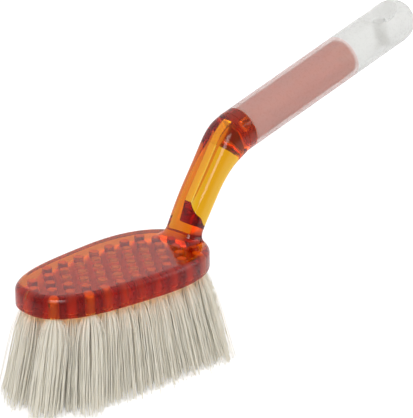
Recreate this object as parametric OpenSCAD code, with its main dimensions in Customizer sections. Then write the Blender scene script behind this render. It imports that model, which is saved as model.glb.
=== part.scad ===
// Hand scrub brush: a clear amber body with tufts of nylon bristle and a frosted grip sleeve.
// Millimetres, +Z up. The origin lies on the surface that the bristle tips stand on, at the
// middle of the brush's whole length. The head is towards -X and the grip rises towards +X.
// The functions below measure along X from the middle of the head.

/* [Head] */
// Length of the egg-shaped head, front tip to rear end
head_l = 120; // [100:1:150]
// Width of the head at mid length
head_w = 61.6; // [54:0.2:74]
// Share of width that the head gains towards its rear half
head_taper = 0.18; // [0.05:0.01:0.25]
// Thickness of the head block
head_h = 12; // [10:0.5:18]
// Radius of the rounded edge round the head's flat top
head_edge_r = 4.2; // [2:0.1:5]

/* [Bristles] */
// Free length of the bristles, from the head's underside to the cut tips
bristle_l = 52; // [35:1:70]
// Bare length at each end of the head, from which the tufts' spacing follows
tuft_end_gap = 5; // [4:0.5:7]
// Spacing of the tuft rows across the head
row_pitch = 8; // [7.5:0.5:9]
// Diameter of the blind tuft holes
tuft_hole_d = 5.4; // [4.4:0.1:5.8]
// Depth of the blind tuft holes
tuft_hole_depth = 9; // [7:0.5:9]
// Least distance from a hole's centre to the head's outline
tuft_margin = 5.5; // [5:0.5:8]
// Growth of the bristle field in length at the tips
splay_x = 0.24; // [0:0.02:0.4]
// Growth of the bristle field in width at the tips
splay_y = 0.4; // [0:0.02:0.5]
// Spread of the strands inside one tuft, tips over roots
tuft_spread = 2.8; // [1.2:0.1:3]

/* [Tuft anchors] */
// Thickness of the flat anchor wire
anchor_t = 0.5; // [0.3:0.05:0.8]
// Height of the flat anchor wire
anchor_h = 1.8; // [1.2:0.1:2.4]
// Depth that each end of an anchor bites into the wall of its hole
anchor_bite = 0.15; // [0.05:0.05:0.3]

/* [Neck] */
// Distance from the middle of the head to the mouth of the sleeve
neck_reach = 95.7; // [85:0.1:115]
// Height of the sleeve's mouth centre over the head's underside
neck_rise = 64.9; // [55:0.1:80]
// Distance from the neck's foot centre to the rear end of the head
neck_foot_inset = 11; // [10:0.5:18]
// Width of the neck at its slimmest
neck_w = 21; // [16:0.5:24]
// Thickness of the neck at its slimmest, front face to rear
neck_t = 14; // [12:0.5:18]
// Radius of the fillet where the neck leaves the head's flat top
neck_fillet_r = 5; // [2:0.5:7]
// Width of the floor of the channel hollowed into the neck from its rear side
channel_w = 5.2; // [4:0.1:8]
// Slope of each side wall of the channel, which opens toward the rear
channel_draft = 14; // [4:0.5:16]
// Thickness of the wall between the channel and the neck's front face
channel_wall = 2.6; // [2:0.1:4]

/* [Grip] */
// Upward tilt of the grip
grip_tilt = 16.3; // [5:0.1:35]
// Diameter of the collar and of the sleeve's mouth
grip_d = 25; // [22:0.1:30]
// Diameter of the sleeve at the start of its rounded end
grip_end_d = 26.2; // [23:0.1:32]
// Length of the sleeve, mouth to rounded tip
sleeve_l = 143; // [120:1:180]
// Thickness of the sleeve's wall at the mouth
sleeve_wall = 1.8; // [1.5:0.1:3]
// Radial clearance between the tang and the sleeve
tang_clearance = 0.1; // [0.05:0.01:0.2]
// Length of the collar behind the sleeve's mouth
collar_l = 6; // [4:0.5:10]
// Length of the tang inside the sleeve
tang_l = 85; // [60:1:95]
// Diameter of the blind bore along the tang
tang_bore_d = 5; // [3:0.5:8]
// Diameter of the hanging hole through the sleeve's end
hang_hole_d = 8; // [5:0.5:10]
// Distance from the hanging hole to the sleeve's tip
hang_hole_inset = 23.5; // [20:0.5:30]

/* [Hidden] */
// Rows of tufts across the head, bands of tufts along it, and strands in a tuft
tuft_rows = 6;
tuft_bands = 10;
tuft_strands = 7;
// Shares of the strand's length at which its sections lie, and its root's share of its sector
strand_stations = [0, 0.5, 1];
strand_root_share = 0.78;
strand_curve = 1.15;
// Spacing of the tufts along a row, and the place of the fifth band along the head
tuft_pitch = (head_l - 2 * tuft_end_gap) / tuft_bands;
band_shift = -2;
// Outline powers of the head: ends and sides, front half and rear half
front_end_power = 4;
front_side_power = 2.6;
rear_end_power = 2.5;
rear_side_power = 2.2;
outline_step = 3.75;
edge_steps = 5;

head_top = bristle_l + head_h;
plug_r = tuft_hole_d / 2 - 0.1;
anchor_z = bristle_l + tuft_hole_depth - anchor_h - 1.2;
grip_r = grip_d / 2;
grip_end_r = grip_end_d / 2;
bore_r = grip_r - sleeve_wall;
tang_r = bore_r - tang_clearance;
bore_beyond_tang = 18;
bore_depth = tang_l + bore_beyond_tang;
dish_r = 15.2;
dish_lift = 20.7;
hang_at = sleeve_l - hang_hole_inset;

// Neck: foot and collar centres in the XZ plane, and the curve between them
grip_dir = [cos(grip_tilt), sin(grip_tilt)];
mouth = [neck_reach, bristle_l + neck_rise];
neck_foot = [head_l / 2 - neck_foot_inset, head_top - 1.5];
neck_end = mouth - grip_dir * (collar_l - 0.5);
neck_lean = 62.6;
foot_pull = 44.6;
collar_pull = 7.4;
swell_from = 0.3;
neck_stations = 18;
neck_sides = 32;
neck_end_r = grip_r - 0.15;
// Shares of the neck's length at which the channel starts and ends, its depth as a share of
// the neck's half thickness, and the fall of its end walls and of its middle
channel_from = 0.18;
channel_to = 0.94;
channel_stations = 12;
channel_reach = 2.6;
end_fall = 77;
middle_fall = 65;

// Ends of the whole brush along X, and its middle
front_strand = tuft_strands % 2 == 1 ? cos(180 / tuft_strands) : 1;
front_tuft = band_shift - 4.5 * tuft_pitch;
front_x = front_tuft * (1 + splay_x) - plug_r * front_strand * (2 * tuft_spread + strand_root_share) / 3;
rear_x = mouth[0] + grip_dir[0] * (sleeve_l - grip_end_r) + grip_end_r;
middle_x = (front_x + rear_x) / 2;

TUFT_NODES = [for (b = [1 : tuft_bands]) str("tuft_band_", b < 10 ? "0" : "", b)];
ANCHOR_NODES = [for (b = [1 : tuft_bands]) str("anchor_band_", b < 10 ? "0" : "", b)];

// Half width of the head at the place x along it
function half_width(x) =
    let (u = min(1, abs(x) / (head_l / 2)), s = sign(x) * u)
    let (p = x < 0 ? front_end_power : rear_end_power, q = x < 0 ? front_side_power : rear_side_power)
    head_w / 2 * (1 + head_taper * s - 0.05 * u * u) * pow(1 - pow(u, p), 1 / q);

// Point of the head's outline at the angle t
function outline_point(t) =
    let (c = cos(t), s = sin(t), p = c < 0 ? front_end_power : rear_end_power)
    let (x = head_l / 2 * sign(c) * pow(abs(c), 2 / p))
    [x, abs(s) < 1e-6 ? 0 : sign(s) * half_width(x)];

// Outward direction of the outline at the angle t
function outline_normal(t) =
    let (a = outline_point(t - 0.5), b = outline_point(t + 0.5), d = b - a)
    [d[1], -d[0]] / norm(d);

// Outline drawn in by a distance
function head_outline(inset) =
    [for (t = [0 : outline_step : 360 - outline_step]) outline_point(t) - outline_normal(t) * inset];

// Triangles that close a ring of n points, in strips from one side to the other
function cap_faces(n) = concat(
    [for (i = [0 : n / 2 - 2]) [i, i + 1, n - 2 - i]],
    [for (i = [0 : n / 2 - 2]) [i, n - 2 - i, n - 1 - i]]
);

// Triangles between stacked rings of n points, with both ends closed
function loft_faces(rings, n) = concat(
    cap_faces(n),
    [for (r = [0 : rings - 2]) for (i = [0 : n - 1]) [r * n + i, (r + 1) * n + i, r * n + (i + 1) % n]],
    [for (r = [0 : rings - 2]) for (i = [0 : n - 1])
        [r * n + (i + 1) % n, (r + 1) * n + i, (r + 1) * n + (i + 1) % n]],
    [for (f = cap_faces(n)) [for (i = [2, 1, 0]) (rings - 1) * n + f[i]]]
);

// The head's rounded upper edge, as rings that draw in while they rise
function edge_rings() = [
    for (k = [0 : edge_steps])
        let (a = 90 * k / edge_steps)
        for (p = head_outline(head_edge_r * (1 - cos(a))))
            [p[0], p[1], head_top - head_edge_r * (1 - sin(a))]
];

// Centre of the neck in the XZ plane at the share s of its length
function neck_centre(s) =
    let (a = neck_foot, b = a + foot_pull * [cos(neck_lean), sin(neck_lean)])
    let (d = neck_end, c = d - collar_pull * grip_dir)
    a * pow(1 - s, 3) + b * 3 * pow(1 - s, 2) * s + c * 3 * (1 - s) * s * s + d * pow(s, 3);

// Direction of the neck at the share s of its length
function neck_dir(s) =
    let (d = neck_centre(min(1, s + 0.01)) - neck_centre(max(0, s - 0.01)))
    d / norm(d);

// Smooth rise from 0 to 1 between the shares a and b
function rise(s, a, b) =
    let (u = max(0, min(1, (s - a) / (b - a))))
    u * u * (3 - 2 * u);

// Flare of the foot: a quarter-round fillet that dies out over its own radius
function foot_flare(s) =
    let (d = max(0, neck_centre(s)[1] - head_top), r = neck_fillet_r)
    d >= r ? 0 : r - sqrt(r * r - pow(r - d, 2));

// Direction across the neck's thickness, level at the foot and square to the neck above it
function across(s) =
    let (d = neck_dir(s), m = rise(s, 0, 0.3), v = [1, 0] * (1 - m) + [d[1], -d[0]] * m)
    v / norm(v);

// One section of the neck: a rounded rectangle that turns into the collar's circle.
// Its rear half gets no fillet, since the foot ends at the head's own rounded edge there.
function neck_section(s) =
    let (c = neck_centre(s), v = across(s), m = rise(s, swell_from, 1))
    let (w = neck_w / 2 * (1 - m) + neck_end_r * m, t = neck_t / 2 * (1 - m) + neck_end_r * m)
    let (power = 2 / (3.2 * (1 - rise(s, 0.6, 1)) + 2 * rise(s, 0.6, 1)), f = foot_flare(s))
    [for (i = [0 : neck_sides - 1])
        let (a = 360 * i / neck_sides, ca = cos(a), sa = sin(a))
        let (x = (t + (ca < 0 ? f : 0)) * sign(ca) * pow(abs(ca), power))
        let (y = (w + f * 0.8) * sign(sa) * pow(abs(sa), power))
        [c[0] + v[0] * x, y, c[1] + v[1] * x]];

// A section of the neck every so often, closer together over the foot's fillet
function neck_rings() = [
    for (k = [0 : neck_stations]) for (p = neck_section(pow(k / neck_stations, 1.5))) p
];

// One section of the channel at the share u of its length: two corners at its floor, which
// follows the neck's front face, and two corners beyond the neck's rear face
function channel_section(u) =
    let (s = channel_from + (channel_to - channel_from) * u, d = neck_dir(s), m = rise(s, swell_from, 1))
    let (t = neck_t / 2 * (1 - m) + neck_end_r * m, reach = channel_reach * t)
    let (fall = end_fall - (end_fall - middle_fall) * sin(180 * u))
    let (wall = channel_wall * (1 + 0.85 * rise(s, 0.6, 1)))
    let (f = neck_centre(s) + [-d[1], d[0]] * (t - wall), w = channel_w / 2)
    let (b = f + reach * [cos(fall), -sin(fall)], v = w + reach * tan(channel_draft))
    [[b[0], -v, b[1]], [b[0], v, b[1]], [f[0], w, f[1]], [f[0], -w, f[1]]];

// Centres of the tufts of one band, [x, y], where the head has room for them
function band_tufts(b) = [
    for (row = [0 : tuft_rows - 1])
        let (x = band_shift + tuft_pitch * (b - 4) - (row % 2 == 0 ? 0 : tuft_pitch / 2))
        let (y = (row - (tuft_rows - 1) / 2) * row_pitch, far = x + sign(x) * tuft_margin)
        if (abs(far) < head_l / 2 && half_width(x) >= abs(y) + tuft_margin && half_width(far) >= abs(y))
            [x, y]
];

// Where the point p of the head's underside lies at the share f of the bristles' length
function splayed(p, f) =
    [p[0] * (1 + splay_x * pow(f, strand_curve)), p[1] * (1 + splay_y * pow(f, strand_curve))];

// Corner of a tuft's root plug
function plug_corner(k) = plug_r * [cos(360 * k / tuft_strands), sin(360 * k / tuft_strands)];

// The three corners of the sector that strand k grows from
function sector(k) = [[0, 0], plug_corner(k), plug_corner(k + 1)];

// Section of strand k of the tuft at centre c, at the share f of its length
function strand_section(c, k, f) =
    let (tri = sector(k), g = (tri[0] + tri[1] + tri[2]) / 3)
    let (m = splayed(c, f) + g * (1 + (tuft_spread - 1) * f))
    [for (v = tri)
        let (q = m + (v - g) * strand_root_share)
        [q[0], q[1], bristle_l * (1 - f)]];

// Points of one tuft: plug top, plug mouth, mouth centre, then each strand's sections
function tuft_points(c) = concat(
    [for (k = [0 : tuft_strands - 1])
        let (p = c + plug_corner(k)) [p[0], p[1], bristle_l + tuft_hole_depth]],
    [for (k = [0 : tuft_strands - 1]) let (p = c + plug_corner(k)) [p[0], p[1], bristle_l]],
    [[c[0], c[1], bristle_l]],
    [for (k = [0 : tuft_strands - 1]) for (f = strand_stations) for (p = strand_section(c, k, f)) p]
);

// Triangles of strand k: the ring of its sector, its sides and its cut tip
function strand_faces(o, k) =
    let (n = tuft_strands, stations = len(strand_stations))
    let (outer = [o + 2 * n, o + n + k, o + n + (k + 1) % n], s = o + 2 * n + 1 + k * stations * 3)
    concat(
        [for (i = [0 : 2]) [outer[i], outer[(i + 1) % 3], s + i]],
        [for (i = [0 : 2]) [outer[(i + 1) % 3], s + (i + 1) % 3, s + i]],
        [for (j = [0 : stations - 2]) for (i = [0 : 2])
            [s + 3 * j + i, s + 3 * j + (i + 1) % 3, s + 3 * (j + 1) + i]],
        [for (j = [0 : stations - 2]) for (i = [0 : 2])
            [s + 3 * j + (i + 1) % 3, s + 3 * (j + 1) + (i + 1) % 3, s + 3 * (j + 1) + i]],
        [[s + 3 * (stations - 1), s + 3 * (stations - 1) + 1, s + 3 * (stations - 1) + 2]]
    );

// Triangles of one tuft whose points start at o
function tuft_faces(o) =
    let (n = tuft_strands)
    concat(
        [for (i = [1 : n - 2]) [o, o + i + 1, o + i]],
        [for (i = [0 : n - 1]) [o + i, o + (i + 1) % n, o + n + i]],
        [for (i = [0 : n - 1]) [o + (i + 1) % n, o + n + (i + 1) % n, o + n + i]],
        [for (k = [0 : n - 1]) for (f = strand_faces(o, k)) f]
    );

// Moves the middle of the brush's length onto the origin
module placed() {
    translate([-middle_x, 0, 0])
        children();
}

// Placed along the grip's axis: the sleeve's mouth is at the origin of its children
module on_grip() {
    translate([mouth[0], 0, mouth[1]])
        rotate([0, 90 - grip_tilt, 0])
            children();
}

// The head block: a flat underside, upright walls and a rounded upper edge
module head_block() {
    translate([0, 0, bristle_l])
        linear_extrude(head_h - head_edge_r)
            polygon(head_outline(0));
    polyhedron(edge_rings(), loft_faces(edge_steps + 1, round(360 / outline_step)));
}

// The neck's swept outer form
module neck() {
    polyhedron(neck_rings(), loft_faces(neck_stations + 1, neck_sides));
}

// The open channel in the neck's rear side
module channel() {
    points = [for (k = [0 : channel_stations]) for (p = channel_section(k / channel_stations)) p];
    polyhedron(points, loft_faces(channel_stations + 1, 4));
}

// Collar, and the tang that the sleeve slides over, with its blind bore
module collar_and_tang() {
    difference() {
        union() {
            translate([0, 0, -collar_l])
                cylinder(h = collar_l, r = grip_r, $fn = 64);
            translate([0, 0, -1])
                cylinder(h = tang_l, r = tang_r, $fn = 64);
            translate([0, 0, tang_l - 1])
                cylinder(h = 1, r1 = tang_r, r2 = tang_r - 1, $fn = 64);
        }
        translate([0, 0, -3])
            cylinder(h = tang_l + 4, d = tang_bore_d, $fn = 32);
    }
}

// One-piece clear body: head block, neck, collar and tang, with the blind tuft holes
module brush_body() {
    color([0.78, 0.35, 0.08, 0.8])
        placed() difference() {
            union() {
                head_block();
                difference() {
                    neck();
                    channel();
                }
                on_grip()
                    collar_and_tang();
            }
            for (b = [0 : tuft_bands - 1])
                for (c = band_tufts(b))
                    translate([c[0], c[1], bristle_l - 1])
                        cylinder(h = tuft_hole_depth + 1, d = tuft_hole_d, $fn = 32);
        }
}

// Half profile of the sleeve's outside: a slight taper and a round end
function sleeve_outline() = concat(
    [[0, 0], [grip_r, 0]],
    [for (a = [0 : 7.5 : 90]) [grip_end_r * cos(a), sleeve_l - grip_end_r + grip_end_r * sin(a)]]
);

// Frosted sleeve: blind bore for the tang, dished thumb rest and hanging hole
module grip_sleeve() {
    color([0.93, 0.93, 0.9, 0.7])
        placed() on_grip()
            difference() {
                rotate_extrude($fn = 96)
                    polygon(sleeve_outline());
                translate([0, 0, -1])
                    cylinder(h = bore_depth + 1, r = bore_r, $fn = 64);
                translate([-dish_lift, 0, hang_at])
                    sphere(r = dish_r, $fn = 64);
                translate([0, 0, hang_at])
                    rotate([0, 90, 0])
                        cylinder(h = 2 * grip_end_d, d = hang_hole_d, center = true, $fn = 48);
            }
}

// Flat anchor wires of one band, each across its hole and biting into the wall
module anchor_wires(b) {
    for (c = band_tufts(b))
        translate([c[0], c[1], anchor_z + anchor_h / 2])
            cube([tuft_hole_d + 2 * anchor_bite, anchor_t, anchor_h], center = true);
}

module anchor_band(b) {
    color([0.62, 0.62, 0.64])
        placed() anchor_wires(b);
}

// Tufts of one band: each is a folded root plug, slotted for its anchor, and its strands
module tuft_band(b) {
    tufts = band_tufts(b);
    size = len(tuft_points([0, 0]));
    color([0.9, 0.89, 0.84])
        placed() difference() {
            polyhedron(
                [for (c = tufts) for (p = tuft_points(c)) p],
                [for (i = [0 : len(tufts) - 1]) for (f = tuft_faces(i * size)) f]
            );
            anchor_wires(b);
        }
}

brush_body();
grip_sleeve();
tuft_band(0);  // tuft_band_01
tuft_band(1);  // tuft_band_02
tuft_band(2);  // tuft_band_03
tuft_band(3);  // tuft_band_04
tuft_band(4);  // tuft_band_05
tuft_band(5);  // tuft_band_06
tuft_band(6);  // tuft_band_07
tuft_band(7);  // tuft_band_08
tuft_band(8);  // tuft_band_09
tuft_band(9);  // tuft_band_10
anchor_band(0);  // anchor_band_01
anchor_band(1);  // anchor_band_02
anchor_band(2);  // anchor_band_03
anchor_band(3);  // anchor_band_04
anchor_band(4);  // anchor_band_05
anchor_band(5);  // anchor_band_06
anchor_band(6);  // anchor_band_07
anchor_band(7);  // anchor_band_08
anchor_band(8);  // anchor_band_09
anchor_band(9);  // anchor_band_10
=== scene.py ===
import math
import random

import bpy
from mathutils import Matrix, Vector


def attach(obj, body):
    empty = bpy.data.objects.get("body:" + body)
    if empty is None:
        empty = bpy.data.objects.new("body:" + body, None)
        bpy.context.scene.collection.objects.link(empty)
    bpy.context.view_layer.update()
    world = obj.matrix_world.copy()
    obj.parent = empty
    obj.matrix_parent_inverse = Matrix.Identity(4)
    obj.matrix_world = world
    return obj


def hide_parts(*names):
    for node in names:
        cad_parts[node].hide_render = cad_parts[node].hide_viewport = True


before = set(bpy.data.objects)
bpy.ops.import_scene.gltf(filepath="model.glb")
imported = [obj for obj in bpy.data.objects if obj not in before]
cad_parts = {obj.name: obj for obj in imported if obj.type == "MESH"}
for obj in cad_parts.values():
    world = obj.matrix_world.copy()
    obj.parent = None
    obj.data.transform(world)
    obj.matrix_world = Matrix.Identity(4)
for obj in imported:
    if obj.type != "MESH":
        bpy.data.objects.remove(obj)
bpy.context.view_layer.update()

bpy.ops.object.select_all(action="DESELECT")


# The picture: the brush stands on its bristle tips on a plain pale floor and is seen from
# its front left, a little from above. Soft light comes from all round, as in a light tent.
eye = (-0.717322, -0.729938, 0.464851)
look_down, look_left = math.radians(21.0), math.radians(43.954)
away_from_eye = (0.694, 0.720, 0.0)
light_bounces = 32
behind_clear_parts = 0.88

scene = bpy.context.scene
scene.view_settings.view_transform = "Standard"
scene.cycles.max_bounces = light_bounces
scene.cycles.transmission_bounces = light_bounces
scene.cycles.glossy_bounces = light_bounces

bpy.ops.object.camera_add(location=eye, rotation=(math.radians(90.0) - look_down, 0.0, -look_left))
camera = bpy.context.object
camera.name = "camera"
camera.data.lens = 169.05
camera.data.sensor_width = 36.0
camera.data.clip_end = 30.0
scene.camera = camera

bpy.ops.mesh.primitive_plane_add(size=8.0, location=(0.0, 0.0, 0.0))
floor = bpy.context.object
floor.name = "floor"

floor_paper = bpy.data.materials.new("floor_paper")
floor_paper.use_nodes = True
nodes, links = floor_paper.node_tree.nodes, floor_paper.node_tree.links
nodes.clear()
out = nodes.new("ShaderNodeOutputMaterial")
path = nodes.new("ShaderNodeLightPath")
paper = nodes.new("ShaderNodeBsdfDiffuse")
paper.inputs["Color"].default_value = (0.80, 0.80, 0.80, 1.0)
lift = nodes.new("ShaderNodeEmission")
lift_amount = nodes.new("ShaderNodeMath")
lift_amount.operation = "MULTIPLY"
lift_amount.inputs[1].default_value = 0.45
lifted = nodes.new("ShaderNodeAddShader")
mirrored = nodes.new("ShaderNodeEmission")
place = nodes.new("ShaderNodeTexCoord")
behind = nodes.new("ShaderNodeVectorMath")
behind.operation = "DOT_PRODUCT"
behind.inputs[1].default_value = away_from_eye
sweep = nodes.new("ShaderNodeMapRange")
sweep.interpolation_type = "SMOOTHSTEP"
sweep.inputs["From Min"].default_value = -0.40
sweep.inputs["From Max"].default_value = 0.10
sweep.inputs["To Min"].default_value = 0.30
sweep.inputs["To Max"].default_value = 0.95
links.new(place.outputs["Object"], behind.inputs[0])
links.new(behind.outputs["Value"], sweep.inputs["Value"])
links.new(sweep.outputs["Result"], mirrored.inputs["Strength"])
through = nodes.new("ShaderNodeEmission")
through.inputs["Strength"].default_value = behind_clear_parts
reflected = nodes.new("ShaderNodeMixShader")
choice = nodes.new("ShaderNodeMixShader")
links.new(path.outputs["Is Camera Ray"], lift_amount.inputs[0])
links.new(lift_amount.outputs[0], lift.inputs["Strength"])
links.new(paper.outputs[0], lifted.inputs[0])
links.new(lift.outputs[0], lifted.inputs[1])
links.new(path.outputs["Is Glossy Ray"], reflected.inputs[0])
links.new(lifted.outputs[0], reflected.inputs[1])
links.new(mirrored.outputs[0], reflected.inputs[2])
links.new(path.outputs["Is Transmission Ray"], choice.inputs[0])
links.new(reflected.outputs[0], choice.inputs[1])
links.new(through.outputs[0], choice.inputs[2])
links.new(choice.outputs[0], out.inputs["Surface"])
floor.data.materials.append(floor_paper)

world = bpy.data.worlds.new("light_tent")
scene.world = world
world.use_nodes = True
nodes, links = world.node_tree.nodes, world.node_tree.links
nodes.clear()
out = nodes.new("ShaderNodeOutputWorld")
path = nodes.new("ShaderNodeLightPath")
tent_light = nodes.new("ShaderNodeBackground")
tent_light.inputs["Color"].default_value = (1.0, 1.0, 1.0, 1.0)
tent_light.inputs["Strength"].default_value = 0.70
tent_white = nodes.new("ShaderNodeBackground")
tent_white.inputs["Color"].default_value = (1.0, 1.0, 1.0, 1.0)
tent_white.inputs["Strength"].default_value = 1.0
tent_sweep = nodes.new("ShaderNodeBackground")
place = nodes.new("ShaderNodeTexCoord")
behind = nodes.new("ShaderNodeVectorMath")
behind.operation = "DOT_PRODUCT"
behind.inputs[1].default_value = away_from_eye
sweep = nodes.new("ShaderNodeMapRange")
sweep.interpolation_type = "SMOOTHSTEP"
sweep.inputs["From Min"].default_value = -0.5
sweep.inputs["From Max"].default_value = 0.4
sweep.inputs["To Min"].default_value = 0.28
sweep.inputs["To Max"].default_value = 0.95
tent_through = nodes.new("ShaderNodeBackground")
height = nodes.new("ShaderNodeSeparateXYZ")
overhead = nodes.new("ShaderNodeMapRange")
overhead.interpolation_type = "SMOOTHSTEP"
overhead.inputs["From Min"].default_value = 0.25
overhead.inputs["From Max"].default_value = 0.70
overhead.inputs["To Min"].default_value = behind_clear_parts
overhead.inputs["To Max"].default_value = 4.60
links.new(place.outputs["Generated"], height.inputs["Vector"])
links.new(height.outputs["Z"], overhead.inputs["Value"])
links.new(overhead.outputs["Result"], tent_through.inputs["Strength"])
reflected = nodes.new("ShaderNodeMixShader")
seen_through = nodes.new("ShaderNodeMixShader")
choice = nodes.new("ShaderNodeMixShader")
links.new(place.outputs["Generated"], behind.inputs[0])
links.new(behind.outputs["Value"], sweep.inputs["Value"])
links.new(sweep.outputs["Result"], tent_sweep.inputs["Strength"])
links.new(path.outputs["Is Glossy Ray"], reflected.inputs[0])
links.new(tent_light.outputs[0], reflected.inputs[1])
links.new(tent_sweep.outputs[0], reflected.inputs[2])
links.new(path.outputs["Is Transmission Ray"], seen_through.inputs[0])
links.new(reflected.outputs[0], seen_through.inputs[1])
links.new(tent_through.outputs[0], seen_through.inputs[2])
links.new(path.outputs["Is Camera Ray"], choice.inputs[0])
links.new(seen_through.outputs[0], choice.inputs[1])
links.new(tent_white.outputs[0], choice.inputs[2])
links.new(choice.outputs[0], out.inputs["Surface"])

window_size, brush_centre = 1.0, Vector((0.0, 0.0, 0.08))
for window_name, window_place, watts in (
    ("window_left", (-1.1, -0.9, 1.3), 12.0),
    ("window_right", (1.2, -1.0, 0.9), 4.0),
):
    bpy.ops.object.light_add(type="AREA", location=window_place)
    window = bpy.context.object
    window.name = window_name
    window.data.size = window_size
    window.data.energy = watts
    window.rotation_euler = (brush_centre - Vector(window_place)).to_track_quat("-Z", "Y").to_euler()


# Head block: the oval plate that holds the bristles, moulded in clear amber acrylic in one
# piece with the neck and the tang. Its underside is flat and its upper edge is rounded.
middle = 0.0823185  # from the head's middle to the middle of the whole brush
head_half, head_half_w, head_under, head_top = 0.060, 0.0308, 0.052, 0.064
head_taper, head_belly = 0.18, 0.05
blunt_nose, round_heel = (4.0, 2.6), (2.5, 2.2)
top_edge_r, under_edge_r = 0.0042, 0.0005


def head_half_width(x):
    u = min(1.0, abs(x) / head_half)
    p, q = blunt_nose if x < 0 else round_heel
    widening = 1 + head_taper * math.copysign(u, x) - head_belly * u * u
    return head_half_w * widening * (1 - u ** p) ** (1 / q)


bpy.ops.mesh.primitive_circle_add(vertices=192, radius=1.0, fill_type="NGON")
body = bpy.context.object
body.name = "amber_body"
for v in body.data.vertices:
    t = math.atan2(v.co.y, v.co.x)
    p = (blunt_nose if math.cos(t) < 0 else round_heel)[0]
    x = head_half * math.copysign(abs(math.cos(t)) ** (2 / p), math.cos(t))
    y = math.copysign(head_half_width(x), math.sin(t)) if abs(math.sin(t)) > 1e-6 else 0.0
    v.co = (x - middle, y, head_under)
bpy.ops.object.mode_set(mode="EDIT")
bpy.ops.mesh.select_mode(type="EDGE")
bpy.ops.mesh.select_all(action="SELECT")
bpy.ops.mesh.extrude_region_move(TRANSFORM_OT_translate={"value": (0, 0, head_top - head_under)})
bpy.ops.mesh.select_all(action="SELECT")
bpy.ops.mesh.normals_make_consistent(inside=False)
bpy.ops.mesh.select_all(action="DESELECT")
bpy.ops.object.mode_set(mode="OBJECT")
for height, radius, steps in ((head_top, top_edge_r, 12), (head_under, under_edge_r, 2)):
    for e in body.data.edges:
        e.select = all(abs(body.data.vertices[i].co.z - height) < 1e-6 for i in e.vertices)
    bpy.ops.object.mode_set(mode="EDIT")
    bpy.ops.mesh.bevel(offset=radius, segments=steps, profile=0.5, affect="EDGES")
    bpy.ops.mesh.select_all(action="DESELECT")
    bpy.ops.object.mode_set(mode="OBJECT")


# Neck: rises from the rear of the head, bends up and swells from a rounded bar into the
# collar's round. A channel is cored out of its rear side, which keeps the wall thin.
tilt = math.radians(16.3)
grip_dir = Vector((math.cos(tilt), 0.0, math.sin(tilt)))
mouth = Vector((0.0957 - middle, 0.0, head_under + 0.0649))
collar_radius, collar_length = 0.0125, 0.0055
neck_half_w, neck_half_t, neck_end_radius = 0.0105, 0.0070, 0.01235
neck_squareness, swell_from, round_from = 3.2, 0.3, 0.6
foot_fillet, side_flare, foot_crowding = 0.005, 0.8, 1.4
neck_lean, foot_pull, collar_pull = math.radians(62.6), 0.0446, 0.0074
neck_foot = Vector((0.0490 - middle, 0.0, head_top - 0.0015))
neck_curve = [
    neck_foot,
    neck_foot + foot_pull * Vector((math.cos(neck_lean), 0.0, math.sin(neck_lean))),
    mouth - grip_dir * (collar_length + collar_pull),
    mouth - grip_dir * collar_length,
]


def neck_centre(s):
    a, b, c, d = neck_curve
    return a * (1 - s) ** 3 + b * 3 * (1 - s) ** 2 * s + c * 3 * (1 - s) * s * s + d * s ** 3


def neck_way(s):
    return (neck_centre(min(1.0, s + 0.01)) - neck_centre(max(0.0, s - 0.01))).normalized()


def smooth(s, a, b):
    u = max(0.0, min(1.0, (s - a) / (b - a)))
    return u * u * (3 - 2 * u)


def neck_point(s, angle):
    centre, way = neck_centre(s), neck_way(s)
    turn, swell = smooth(s, 0.0, swell_from), smooth(s, swell_from, 1.0)
    across = (Vector((1, 0, 0)) * (1 - turn) + Vector((way.z, 0, -way.x)) * turn).normalized()
    half_w = neck_half_w * (1 - swell) + neck_end_radius * swell
    half_t = neck_half_t * (1 - swell) + neck_end_radius * swell
    round_off = smooth(s, round_from, 1.0)
    power = 2 / (neck_squareness * (1 - round_off) + 2 * round_off)
    below_fillet = max(0.0, foot_fillet - max(0.0, centre.z - head_top))
    flare = foot_fillet - math.sqrt(foot_fillet ** 2 - below_fillet ** 2)
    ca, sa = math.cos(angle), math.sin(angle)
    x = (half_t + (flare if ca < 0 else 0.0)) * math.copysign(abs(ca) ** power, ca)
    y = (half_w + flare * side_flare) * math.copysign(abs(sa) ** power, sa)
    return centre + across * x + Vector((0, y, 0))


def select_edges(piece, wanted):
    bpy.ops.object.mode_set(mode="EDIT")
    bpy.ops.mesh.select_mode(type="EDGE")
    bpy.ops.mesh.select_all(action="DESELECT")
    bpy.ops.object.mode_set(mode="OBJECT")
    for e in piece.data.edges:
        e.select = wanted(*(piece.data.vertices[i].co.z for i in e.vertices))
    bpy.ops.object.mode_set(mode="EDIT")


bpy.ops.mesh.primitive_cylinder_add(vertices=120, radius=1.0, depth=1.0, end_fill_type="NGON")
neck = bpy.context.object
neck.name = "neck"
select_edges(neck, lambda low, high: abs(low - high) > 0.5)
bpy.ops.mesh.subdivide(number_cuts=110)
bpy.ops.object.mode_set(mode="OBJECT")
for v in neck.data.vertices:
    v.co = neck_point((v.co.z + 0.5) ** foot_crowding, math.atan2(v.co.y, v.co.x))


channel_from, channel_to = 0.18, 0.94
channel_wall, wall_by_collar, channel_half_w = 0.0026, 0.0048, 0.0026
channel_reach, channel_draft, channel_edge_r = 2.6, 0.24, 0.0007
end_fall, middle_fall = math.radians(77), math.radians(65)


def channel_section(u):
    s = channel_from + (channel_to - channel_from) * u
    way, swell = neck_way(s), smooth(s, swell_from, 1.0)
    depth = neck_half_t * (1 - swell) + collar_radius * swell
    inset = channel_wall + (wall_by_collar - channel_wall) * smooth(s, round_from, 1.0)
    front = neck_centre(s) + Vector((-way.z, 0, way.x)) * (depth - inset)
    reach = channel_reach * depth
    fall = end_fall + (middle_fall - end_fall) * math.sin(math.pi * u)
    back = front + reach * Vector((math.cos(fall), 0, -math.sin(fall)))
    return front, back, channel_half_w, channel_half_w + channel_draft * reach


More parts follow.
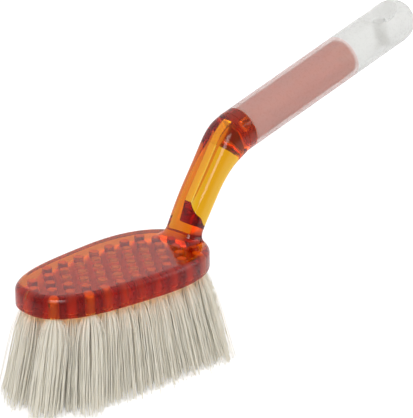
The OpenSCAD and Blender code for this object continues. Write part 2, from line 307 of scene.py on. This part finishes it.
bpy.ops.mesh.primitive_cube_add(size=2.0)
channel = bpy.context.object
channel.name = "channel"
select_edges(channel, lambda low, high: abs(low - high) > 1.0)
bpy.ops.mesh.subdivide(number_cuts=24)
bpy.ops.object.mode_set(mode="OBJECT")
for v in channel.data.vertices:
    front, back, floor_half_w, rear_half_w = channel_section((v.co.z + 1) / 2)
    if v.co.x < 0:
        v.co = front + Vector((0, v.co.y * floor_half_w, 0))
    else:
        v.co = back + Vector((0, v.co.y * rear_half_w, 0))
bpy.ops.object.mode_set(mode="EDIT")
bpy.ops.mesh.select_all(action="DESELECT")
bpy.ops.mesh.edges_select_sharp(sharpness=math.radians(50))
bpy.ops.mesh.bevel(offset=channel_edge_r, segments=3, profile=0.5, affect="EDGES", clamp_overlap=True)
bpy.ops.mesh.select_all(action="SELECT")
bpy.ops.mesh.normals_make_consistent(inside=False)
bpy.ops.object.mode_set(mode="OBJECT")


# Collar and tang: the collar closes against the sleeve's mouth, and the tang is the round
# core that the sleeve is pushed over. A narrow blind bore runs along the tang.
def stack_on_grip(name, profile, sides):
    bpy.ops.mesh.primitive_circle_add(vertices=sides, radius=profile[0][1], fill_type="NGON")
    piece = bpy.context.object
    piece.name = name
    bpy.ops.object.mode_set(mode="EDIT")
    bpy.ops.mesh.select_mode(type="FACE")
    bpy.ops.mesh.select_all(action="SELECT")
    for (s0, r0), (s1, r1) in zip(profile, profile[1:]):
        bpy.ops.mesh.extrude_region_move(TRANSFORM_OT_translate={"value": (0, 0, s1 - s0)})
        bpy.ops.transform.resize(value=(r1 / r0, r1 / r0, 1.0))
    bpy.ops.mesh.select_all(action="SELECT")
    bpy.ops.mesh.normals_make_consistent(inside=False)
    bpy.ops.object.mode_set(mode="OBJECT")
    start = mouth + grip_dir * profile[0][0]
    turn = Vector((0, 0, 1)).rotation_difference(grip_dir).to_matrix()
    for v in piece.data.vertices:
        v.co = turn @ v.co + start
    return piece


tang_length, tang_radius, tang_bore_radius = 0.085, 0.0106, 0.0025
tang = stack_on_grip("tang", [
    (-0.0060, collar_radius), (-0.0006, collar_radius), (-0.0002, 0.0124), (0.0, 0.0120),
    (0.0, tang_radius), (tang_length - 0.0020, tang_radius), (tang_length - 0.0012, 0.01045),
    (tang_length - 0.0005, 0.0100), (tang_length, 0.0093)], 96)
bore = stack_on_grip("bore", [
    (-0.0030, 0.0013), (-0.0022, 0.0021), (-0.0010, tang_bore_radius),
    (tang_length + 0.0010, tang_bore_radius)], 32)


def cut_or_join(target, tool, operation):
    bpy.ops.object.select_all(action="DESELECT")
    target.select_set(True)
    bpy.context.view_layer.objects.active = target
    bpy.ops.object.modifier_add(type="BOOLEAN")
    target.modifiers[-1].operation = operation
    target.modifiers[-1].solver = "EXACT"
    target.modifiers[-1].object = tool
    bpy.ops.object.modifier_apply(modifier=target.modifiers[-1].name)
    bpy.data.objects.remove(tool)


cut_or_join(tang, bore, "DIFFERENCE")
cut_or_join(neck, channel, "DIFFERENCE")
cut_or_join(neck, tang, "UNION")
cut_or_join(body, neck, "UNION")


# Finish of the amber moulding: its flat faces stay flat up to their rounded edges, and its
# bends shade as one surface. The acrylic is clear, with a dye that deepens with thickness. It
# is polished on top and on the neck, satin on the head's side and underside, matt on the tang.
bpy.ops.object.select_all(action="DESELECT")
body.select_set(True)
bpy.context.view_layer.objects.active = body
bpy.ops.object.mode_set(mode="EDIT")
bpy.ops.mesh.select_all(action="SELECT")
bpy.ops.mesh.remove_doubles(threshold=0.00001)
bpy.ops.object.mode_set(mode="OBJECT")
bpy.ops.object.shade_smooth_by_angle(angle=math.radians(32))
flats = {f.index for f in body.data.polygons if abs(f.normal.z) > 0.9999}
beside = {}
for f in body.data.polygons:
    for key in f.edge_keys:
        beside.setdefault(key, set()).add(f.index in flats)
for e in body.data.edges:
    if len(beside[e.key]) == 2:
        e.use_edge_sharp = True
bpy.ops.object.modifier_add(type="WEIGHTED_NORMAL")
body.modifiers[-1].keep_sharp = True
body.modifiers[-1].weight = 80
bpy.ops.object.modifier_apply(modifier=body.modifiers[-1].name)

amber_acrylic = bpy.data.materials.new("amber_acrylic")
amber_acrylic.use_nodes = True
nodes, links = amber_acrylic.node_tree.nodes, amber_acrylic.node_tree.links
shell = nodes["Principled BSDF"]
shell.inputs["Base Color"].default_value = (1.0, 1.0, 1.0, 1.0)
shell.inputs["Transmission Weight"].default_value = 1.0
shell.inputs["IOR"].default_value = 1.49
place = nodes.new("ShaderNodeTexCoord")
flow = nodes.new("ShaderNodeTexNoise")
flow.inputs["Scale"].default_value = 90.0
flow.inputs["Detail"].default_value = 3.0
haze = nodes.new("ShaderNodeMath")
haze.operation = "MULTIPLY_ADD"
haze.inputs[1].default_value = 0.03
links.new(place.outputs["Object"], flow.inputs["Vector"])
links.new(flow.outputs["Fac"], haze.inputs[0])
height = nodes.new("ShaderNodeSeparateXYZ")
polish = nodes.new("ShaderNodeMapRange")
polish.interpolation_type = "SMOOTHSTEP"
polish.inputs["From Min"].default_value = 0.063
polish.inputs["From Max"].default_value = 0.076
polish.inputs["To Min"].default_value = 0.07
polish.inputs["To Max"].default_value = 0.015
links.new(place.outputs["Object"], height.inputs["Vector"])
links.new(height.outputs["Z"], polish.inputs["Value"])
links.new(polish.outputs["Result"], haze.inputs[2])
satin_side = nodes.new("ShaderNodeMapRange")
satin_side.inputs["From Min"].default_value = 0.0615
satin_side.inputs["From Max"].default_value = 0.0637
satin_side.inputs["To Min"].default_value = 0.17
satin_side.inputs["To Max"].default_value = 0.0
links.new(height.outputs["Z"], satin_side.inputs["Value"])


def distance_from_mouth(nodes, links, place):
    from_mouth = nodes.new("ShaderNodeVectorMath")
    from_mouth.operation = "SUBTRACT"
    from_mouth.inputs[1].default_value = mouth
    along = nodes.new("ShaderNodeVectorMath")
    along.operation = "DOT_PRODUCT"
    along.inputs[1].default_value = grip_dir
    links.new(place.outputs["Object"], from_mouth.inputs[0])
    links.new(from_mouth.outputs["Vector"], along.inputs[0])
    return along.outputs["Value"]


matt_tang = nodes.new("ShaderNodeMapRange")
matt_tang.inputs["From Min"].default_value = 0.0001
matt_tang.inputs["From Max"].default_value = 0.0010
matt_tang.inputs["To Max"].default_value = 0.45
links.new(distance_from_mouth(nodes, links, place), matt_tang.inputs["Value"])
head_surface = nodes.new("ShaderNodeMath")
whole_surface = nodes.new("ShaderNodeMath")
links.new(haze.outputs[0], head_surface.inputs[0])
links.new(satin_side.outputs["Result"], head_surface.inputs[1])
links.new(head_surface.outputs[0], whole_surface.inputs[0])
links.new(matt_tang.outputs["Result"], whole_surface.inputs[1])
links.new(whole_surface.outputs[0], shell.inputs["Roughness"])
ripple = nodes.new("ShaderNodeBump")
ripple.inputs["Strength"].default_value = 0.05
ripple.inputs["Distance"].default_value = 0.0004
links.new(flow.outputs["Fac"], ripple.inputs["Height"])
links.new(ripple.outputs["Normal"], shell.inputs["Normal"])
dye = nodes.new("ShaderNodeVolumeAbsorption")
dye.inputs["Color"].default_value = (0.975, 0.840, 0.010, 1.0)
dye.inputs["Density"].default_value = 720.0
links.new(dye.outputs["Volume"], nodes["Material Output"].inputs["Volume"])
body.data.materials.clear()
body.data.materials.append(amber_acrylic)
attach(body, "root")
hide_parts("brush_body")


# Grip sleeve: a frosted tube of translucent plastic with a round closed end, pushed over
# the tang. Near its end it is dished on top for the thumb, with a hanging hole in the dish.
sleeve_length, end_radius, sleeve_bore_radius = 0.143, 0.0131, 0.0107
hang_hole_radius, dish_radius, dish_from_mouth, dish_centre_above = 0.004, 0.0152, 0.1195, 0.0207
outside = [(0.0, 0.0119), (0.0002, 0.01235), (0.0006, collar_radius)]
outside += [(sleeve_length - end_radius + end_radius * math.sin(math.radians(a)),
             end_radius * math.cos(math.radians(a))) for a in range(0, 90, 6)]
outside += [(sleeve_length - 0.000003, 0.0004)]
sleeve = stack_on_grip("grip_sleeve_shell", outside, 120)
core = stack_on_grip("core", [
    (-0.001, sleeve_bore_radius), (tang_length, sleeve_bore_radius),
    (tang_length + 0.0006, 0.0105), (tang_length + 0.0010, 0.0100)], 96)
grip_up = Vector((-math.sin(tilt), 0.0, math.cos(tilt)))
dish_at = mouth + grip_dir * dish_from_mouth
bpy.ops.object.select_all(action="DESELECT")
bpy.ops.mesh.primitive_uv_sphere_add(segments=96, ring_count=64, radius=dish_radius,
                                     location=dish_at + grip_up * dish_centre_above)
dish = bpy.context.object
bpy.ops.mesh.primitive_cylinder_add(vertices=64, radius=hang_hole_radius, depth=0.05, location=dish_at,
                                    rotation=grip_up.to_track_quat("Z", "Y").to_euler())
hang_hole = bpy.context.object
cut_or_join(sleeve, core, "DIFFERENCE")
cut_or_join(sleeve, dish, "DIFFERENCE")
cut_or_join(sleeve, hang_hole, "DIFFERENCE")
bpy.ops.object.shade_smooth_by_angle(angle=math.radians(32))

frosted_plastic = bpy.data.materials.new("frosted_plastic")
frosted_plastic.use_nodes = True
nodes, links = frosted_plastic.node_tree.nodes, frosted_plastic.node_tree.links
shell = nodes["Principled BSDF"]
shell.inputs["Alpha"].default_value = 0.50
shell.inputs["Subsurface Weight"].default_value = 1.0
shell.inputs["Subsurface Radius"].default_value = (1.0, 1.0, 1.0)
shell.inputs["Subsurface Scale"].default_value = 0.002
shell.inputs["IOR"].default_value = 1.40
place = nodes.new("ShaderNodeTexCoord")
# Painted light: over the tang the sleeve's base colour is painted pink, standing in for the amber core
# glowing through the frosted wall. Past the tang's end the sleeve keeps its own frosted grey-white.
tang_inside = nodes.new("ShaderNodeMapRange")
tang_inside.inputs["From Min"].default_value = tang_length - 0.0005
tang_inside.inputs["From Max"].default_value = tang_length + 0.0003
painted_core_glow = nodes.new("ShaderNodeMixRGB")
painted_core_glow.inputs["Color1"].default_value = (0.72, 0.45, 0.40, 1.0)
painted_core_glow.inputs["Color2"].default_value = (0.74, 0.74, 0.715, 1.0)
links.new(distance_from_mouth(nodes, links, place), tang_inside.inputs["Value"])
links.new(tang_inside.outputs["Result"], painted_core_glow.inputs["Fac"])
links.new(painted_core_glow.outputs["Color"], shell.inputs["Base Color"])
grain = nodes.new("ShaderNodeTexNoise")
grain.inputs["Scale"].default_value = 700.0
grain.inputs["Detail"].default_value = 2.0
frost = nodes.new("ShaderNodeMapRange")
frost.inputs["To Min"].default_value = 0.24
frost.inputs["To Max"].default_value = 0.32
pitted = nodes.new("ShaderNodeBump")
pitted.inputs["Strength"].default_value = 0.02
pitted.inputs["Distance"].default_value = 0.0001
links.new(place.outputs["Object"], grain.inputs["Vector"])
links.new(grain.outputs["Fac"], frost.inputs["Value"])
links.new(frost.outputs["Result"], shell.inputs["Roughness"])
links.new(grain.outputs["Fac"], pitted.inputs["Height"])
links.new(pitted.outputs["Normal"], shell.inputs["Normal"])
sleeve.data.materials.clear()
sleeve.data.materials.append(frosted_plastic)
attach(sleeve, "root")
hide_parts("grip_sleeve")


# Bristle roots: the tufts stand in staggered rows, grouped in ten bands across the head. Each
# root is packed nylon with a rounded top, held three quarters of the way up the head. It is
# set straight in the amber here, without the drilled hole that the solid has round it.
band_count, row_count, band_pitch, row_pitch, stagger = 10, 6, 0.011, 0.008, 0.0055
first_band_x, tuft_margin = -0.046, 0.0055
root_radius, root_top, root_edge_r = 0.0027, 0.061, 0.0009
root_under = head_under - 0.0001

tuft_bands = []
for band in range(band_count):
    tufts = []
    for row in range(row_count):
        x = first_band_x + band_pitch * band - (stagger if row % 2 else 0.0)
        y = (row - (row_count - 1) / 2) * row_pitch
        far = x + math.copysign(tuft_margin, x)
        room = head_half_width(x) >= abs(y) + tuft_margin and head_half_width(far) >= abs(y)
        if abs(far) < head_half and room:
            tufts.append((x, y))
    tuft_bands.append(tufts)

bpy.ops.object.select_all(action="DESELECT")
bpy.ops.mesh.primitive_cylinder_add(vertices=24, radius=root_radius, depth=root_top - root_under,
                                    location=(0, 0, (root_top + root_under) / 2))
bpy.ops.object.transform_apply(location=True)
packed_root = bpy.context.object
select_edges(packed_root, lambda low, high: min(low, high) > root_top - 0.0001)
bpy.ops.mesh.bevel(offset=root_edge_r, segments=4, profile=0.5, affect="EDGES")
bpy.ops.object.mode_set(mode="OBJECT")
root_points = [v.co.copy() for v in packed_root.data.vertices]
root_faces = [tuple(f.vertices) for f in packed_root.data.polygons]
bpy.data.objects.remove(packed_root)

packed_nylon = bpy.data.materials.new("packed_nylon")
packed_nylon.use_nodes = True
nodes, links = packed_nylon.node_tree.nodes, packed_nylon.node_tree.links
packed = nodes["Principled BSDF"]
packed.inputs["Roughness"].default_value = 0.6
place = nodes.new("ShaderNodeTexCoord")
stretch = nodes.new("ShaderNodeMapping")
stretch.inputs["Scale"].default_value = (700.0, 700.0, 30.0)
streak = nodes.new("ShaderNodeTexNoise")
streak.inputs["Scale"].default_value = 1.0
streak.inputs["Detail"].default_value = 2.0
height = nodes.new("ShaderNodeSeparateXYZ")
# Painted shade: the roots' colour is set by height. It is lighter through the middle and darker and
# redder at the bottom and at the rounded top. The dark top is painted shade at the fold end.
painted_shade_height = nodes.new("ShaderNodeMapRange")
painted_shade_height.inputs["From Min"].default_value = head_under
painted_shade_height.inputs["From Max"].default_value = root_top - 0.0003
tone = nodes.new("ShaderNodeValToRGB")
tone.color_ramp.elements[0].position = 0.0
tone.color_ramp.elements[0].color = (0.90, 0.38, 0.28, 1.0)
tone.color_ramp.elements[1].position = 1.0
tone.color_ramp.elements[1].color = (0.34, 0.085, 0.08, 1.0)
for share, colour in (
    (0.35, (1.0, 0.72, 0.56, 1.0)),
    (0.85, (1.0, 0.72, 0.56, 1.0)),
    (0.93, (0.55, 0.15, 0.12, 1.0)),
):
    tone.color_ramp.elements.new(share).color = colour
# Painted shade: roots nearer the head's rim are painted a deeper red, darkening the tufts seen through
# the head's side wall.
plan_half, plan_half_w = 0.0625, 0.033
plan = nodes.new("ShaderNodeMapping")
plan.inputs["Location"].default_value = (middle / plan_half, 0.0, 0.0)
plan.inputs["Scale"].default_value = (1 / plan_half, 1 / plan_half_w, 0.0)
inward = nodes.new("ShaderNodeTexGradient")
inward.gradient_type = "SPHERICAL"
inner_tufts = nodes.new("ShaderNodeMapRange")
inner_tufts.inputs["From Min"].default_value = 0.36
inner_tufts.inputs["From Max"].default_value = 0.54
painted_rim_shade = nodes.new("ShaderNodeMixRGB")
painted_rim_shade.inputs["Color1"].default_value = (0.44, 0.065, 0.045, 1.0)
uneven = nodes.new("ShaderNodeMath")
uneven.operation = "MULTIPLY_ADD"
uneven.inputs[1].default_value = 0.4
uneven.inputs[2].default_value = 0.8
shaded = nodes.new("ShaderNodeMixRGB")
shaded.blend_type = "MULTIPLY"
shaded.inputs["Fac"].default_value = 1.0
links.new(place.outputs["Object"], height.inputs["Vector"])
links.new(height.outputs["Z"], painted_shade_height.inputs["Value"])
links.new(painted_shade_height.outputs["Result"], tone.inputs["Fac"])
links.new(tone.outputs["Color"], painted_rim_shade.inputs["Color2"])
links.new(place.outputs["Object"], plan.inputs["Vector"])
links.new(plan.outputs["Vector"], inward.inputs["Vector"])
links.new(inward.outputs["Fac"], inner_tufts.inputs["Value"])
links.new(inner_tufts.outputs["Result"], painted_rim_shade.inputs["Fac"])
links.new(place.outputs["Object"], stretch.inputs["Vector"])
links.new(stretch.outputs["Vector"], streak.inputs["Vector"])
links.new(streak.outputs["Fac"], uneven.inputs[0])
links.new(painted_rim_shade.outputs["Color"], shaded.inputs["Color1"])
links.new(uneven.outputs[0], shaded.inputs["Color2"])
links.new(shaded.outputs["Color"], packed.inputs["Base Color"])


# Bristles: each tuft is a bundle of fine nylon filaments, folded over its anchor in its root.
# Below the head the bundles lean outwards and open up into one full field, trimmed nearly
# level at the tips, with a stray filament here and there.
filaments_per_tuft, filament_radius, bristle_length = 170, 0.00015, 0.052
bundle_radius, filament_start = root_radius - 0.0003, head_under + 0.0005
lean_out_x, lean_out_y, lean_power, ring_crowding = 0.22, 0.37, 1.15, 1.9
spread_mean, spread_range, opening = 3.5, 0.7, 0.10
golden_angle, filaments_per_wisp = 2.39996, 9
tuft_scatter, wisp_scatter, filament_scatter, bow_scatter = 0.0006, 0.0004, 0.0013, 0.0004
wisp_trim, filament_trim, filament_trim_range = 0.028, 0.012, 0.022
flyaway_share, flyaway_spread = 0.02, 1.0

bpy.ops.object.select_all(action="DESELECT")
bpy.ops.mesh.primitive_cylinder_add(vertices=6, radius=1.0, depth=1.0, end_fill_type="NGON")
filament = bpy.context.object
select_edges(filament, lambda low, high: abs(low - high) > 0.5)
bpy.ops.mesh.subdivide(number_cuts=5)
bpy.ops.object.mode_set(mode="OBJECT")
filament_points = [v.co.copy() for v in filament.data.vertices]
filament_faces = [tuple(f.vertices) for f in filament.data.polygons]
bpy.data.objects.remove(filament)

nylon = bpy.data.materials.new("nylon_bristle")
nylon.use_nodes = True
nodes, links = nylon.node_tree.nodes, nylon.node_tree.links
fibre = nodes["Principled BSDF"]
fibre.inputs["Roughness"].default_value = 0.55
fibre.inputs["IOR"].default_value = 1.40
fibre.inputs["Transmission Weight"].default_value = 0.15
place = nodes.new("ShaderNodeTexCoord")
stretch = nodes.new("ShaderNodeMapping")
stretch.inputs["Scale"].default_value = (900.0, 900.0, 12.0)
streak = nodes.new("ShaderNodeTexNoise")
streak.inputs["Scale"].default_value = 1.0
streak.inputs["Detail"].default_value = 1.0
tone = nodes.new("ShaderNodeValToRGB")
tone.color_ramp.elements[0].position = 0.3
tone.color_ramp.elements[0].color = (0.965, 0.92, 0.79, 1.0)
tone.color_ramp.elements[1].position = 0.7
tone.color_ramp.elements[1].color = (0.99, 0.96, 0.87, 1.0)
links.new(place.outputs["Object"], stretch.inputs["Vector"])
links.new(stretch.outputs["Vector"], streak.inputs["Vector"])
links.new(streak.outputs["Fac"], tone.inputs["Fac"])
links.new(tone.outputs["Color"], fibre.inputs["Base Color"])

chance = random.Random(11)


def scatter(amount):
    return Vector((chance.gauss(0, amount), chance.gauss(0, amount)))


for band, tufts in enumerate(tuft_bands):
    points, faces = [], []
    for cx, cy in tufts:
        first = len(points)
        points += [(p.x + cx - middle, p.y + cy, p.z) for p in root_points]
        faces += [tuple(first + i for i in f) for f in root_faces]
    faces_of_roots = len(faces)
    for cx, cy in tufts:
        tuft_lean = scatter(tuft_scatter)
        for k in range(filaments_per_tuft):
            ring = math.sqrt((k + 0.5) / filaments_per_tuft)
            angle = k * golden_angle + chance.uniform(-0.2, 0.2)
            root = Vector((math.cos(angle), math.sin(angle))) * bundle_radius * ring
            bow = scatter(bow_scatter)
            spread = spread_mean + chance.uniform(-spread_range, spread_range)
            if chance.random() < flyaway_share:
                spread += flyaway_spread
            if k % filaments_per_wisp == 0:
                wisp = scatter(wisp_scatter)
                wisp_short = chance.gauss(0.0, wisp_trim)
            stray = wisp + scatter(filament_scatter)
            trimmed = wisp_short + chance.gauss(filament_trim, filament_trim_range)
            length = bristle_length * (1 - max(0.0, trimmed))
            spin = chance.uniform(0, 6.283)
            first = len(points)
            for p in filament_points:
                way_down = (p.z + 0.5) ** ring_crowding
                z = filament_start - (filament_start - (head_under - length)) * way_down
                f = max(0.0, (head_under - z) / bristle_length)
                fan = 1 + (spread - 1) * (1 - math.exp(-f / opening))
                aside = (tuft_lean + stray + bow * (1 - f) * 2) * f
                x = cx * (1 + lean_out_x * f ** lean_power) + root.x * fan + aside.x
                y = cy * (1 + lean_out_y * f ** lean_power) + root.y * fan + aside.y
                a = math.atan2(p.y, p.x) + spin
                x += filament_radius * math.cos(a)
                y += filament_radius * math.sin(a)
                points.append((x - middle, y, z))
            faces += [tuple(first + i for i in reversed(f)) for f in filament_faces]
    mesh = bpy.data.meshes.new(f"bristles_{band + 1:02d}")
    mesh.from_pydata(points, [], faces)
    bristles = bpy.data.objects.new(f"bristles_{band + 1:02d}", mesh)
    scene.collection.objects.link(bristles)
    mesh.materials.append(nylon)
    mesh.materials.append(packed_nylon)
    for f in mesh.polygons[:faces_of_roots]:
        f.material_index = 1
    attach(bristles, "root")
    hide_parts(f"tuft_band_{band + 1:02d}")


# Anchors: short lengths of flat drawn wire, driven across each tuft over its fold so that
# their ends bite into the acrylic. The packed roots hide most of each wire.
drawn_wire = bpy.data.materials.new("drawn_wire")
drawn_wire.use_nodes = True
nodes, links = drawn_wire.node_tree.nodes, drawn_wire.node_tree.links
metal = nodes["Principled BSDF"]
metal.inputs["Metallic"].default_value = 1.0
metal.inputs["Base Color"].default_value = (0.62, 0.61, 0.60, 1.0)
place = nodes.new("ShaderNodeTexCoord")
stretch = nodes.new("ShaderNodeMapping")
stretch.inputs["Scale"].default_value = (300.0, 4000.0, 4000.0)
drawn = nodes.new("ShaderNodeTexNoise")
drawn.inputs["Scale"].default_value = 1.0
sheen = nodes.new("ShaderNodeMapRange")
sheen.inputs["To Min"].default_value = 0.25
sheen.inputs["To Max"].default_value = 0.45
links.new(place.outputs["Object"], stretch.inputs["Vector"])
links.new(stretch.outputs["Vector"], drawn.inputs["Vector"])
links.new(drawn.outputs["Fac"], sheen.inputs["Value"])
links.new(sheen.outputs["Result"], metal.inputs["Roughness"])
for band in range(band_count):
    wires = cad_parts[f"anchor_band_{band + 1:02d}"]
    wires.data.materials.clear()
    wires.data.materials.append(drawn_wire)
